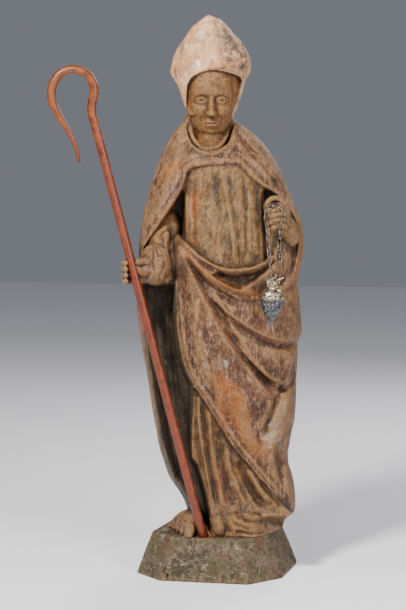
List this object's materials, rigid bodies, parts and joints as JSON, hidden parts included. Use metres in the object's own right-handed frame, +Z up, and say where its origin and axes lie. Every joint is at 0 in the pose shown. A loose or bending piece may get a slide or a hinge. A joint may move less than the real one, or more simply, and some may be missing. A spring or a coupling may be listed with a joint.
{
  "type": "statue",
  "caption": "Carved wooden standing saint in mitre and draped cope on a chamfered plinth, holding a hooked staff and a small censer hanging on a chain",
  "frame": {"origin": "centre of the plinth's underside", "axes": "+Z up, -Y the plinth's front, +X the side of the censer"},
  "size_m": [0.4098, 0.2407, 0.949],
  "materials": {
    "figure_wood": "old carved wood with worn remnants of paint and chalk ground",
    "plinth_wood": "green grey painted wood, worn at the edges",
    "crozier_paint": "satin red brown paint",
    "censer_bowl_metal": "tarnished",
    "censer_lid_metal": "aged, silvered",
    "chain_metal": "dark patina"
  },
  "bodies": {
    "root": {"figure": "figure_wood", "plinth": "plinth_wood", "crozier": "crozier_paint", "censer_bowl": "censer_bowl_metal", "censer_lid": "censer_lid_metal", "chain_link_01": "chain_metal", "chain_link_02": "chain_metal", "chain_link_03": "chain_metal", "chain_link_04": "chain_metal", "chain_link_05": "chain_metal", "chain_link_06": "chain_metal", "chain_link_07": "chain_metal", "chain_link_08": "chain_metal", "chain_link_09": "chain_metal", "chain_link_10": "chain_metal", "chain_link_11": "chain_metal", "chain_link_12": "chain_metal", "chain_link_13": "chain_metal", "chain_link_14": "chain_metal", "chain_link_15": "chain_metal", "chain_link_16": "chain_metal", "chain_link_17": "chain_metal", "chain_link_18": "chain_metal", "chain_link_19": "chain_metal", "chain_link_20": "chain_metal", "chain_link_21": "chain_metal", "chain_link_22": "chain_metal", "chain_link_23": "chain_metal"}
  },
  "joints": []
}
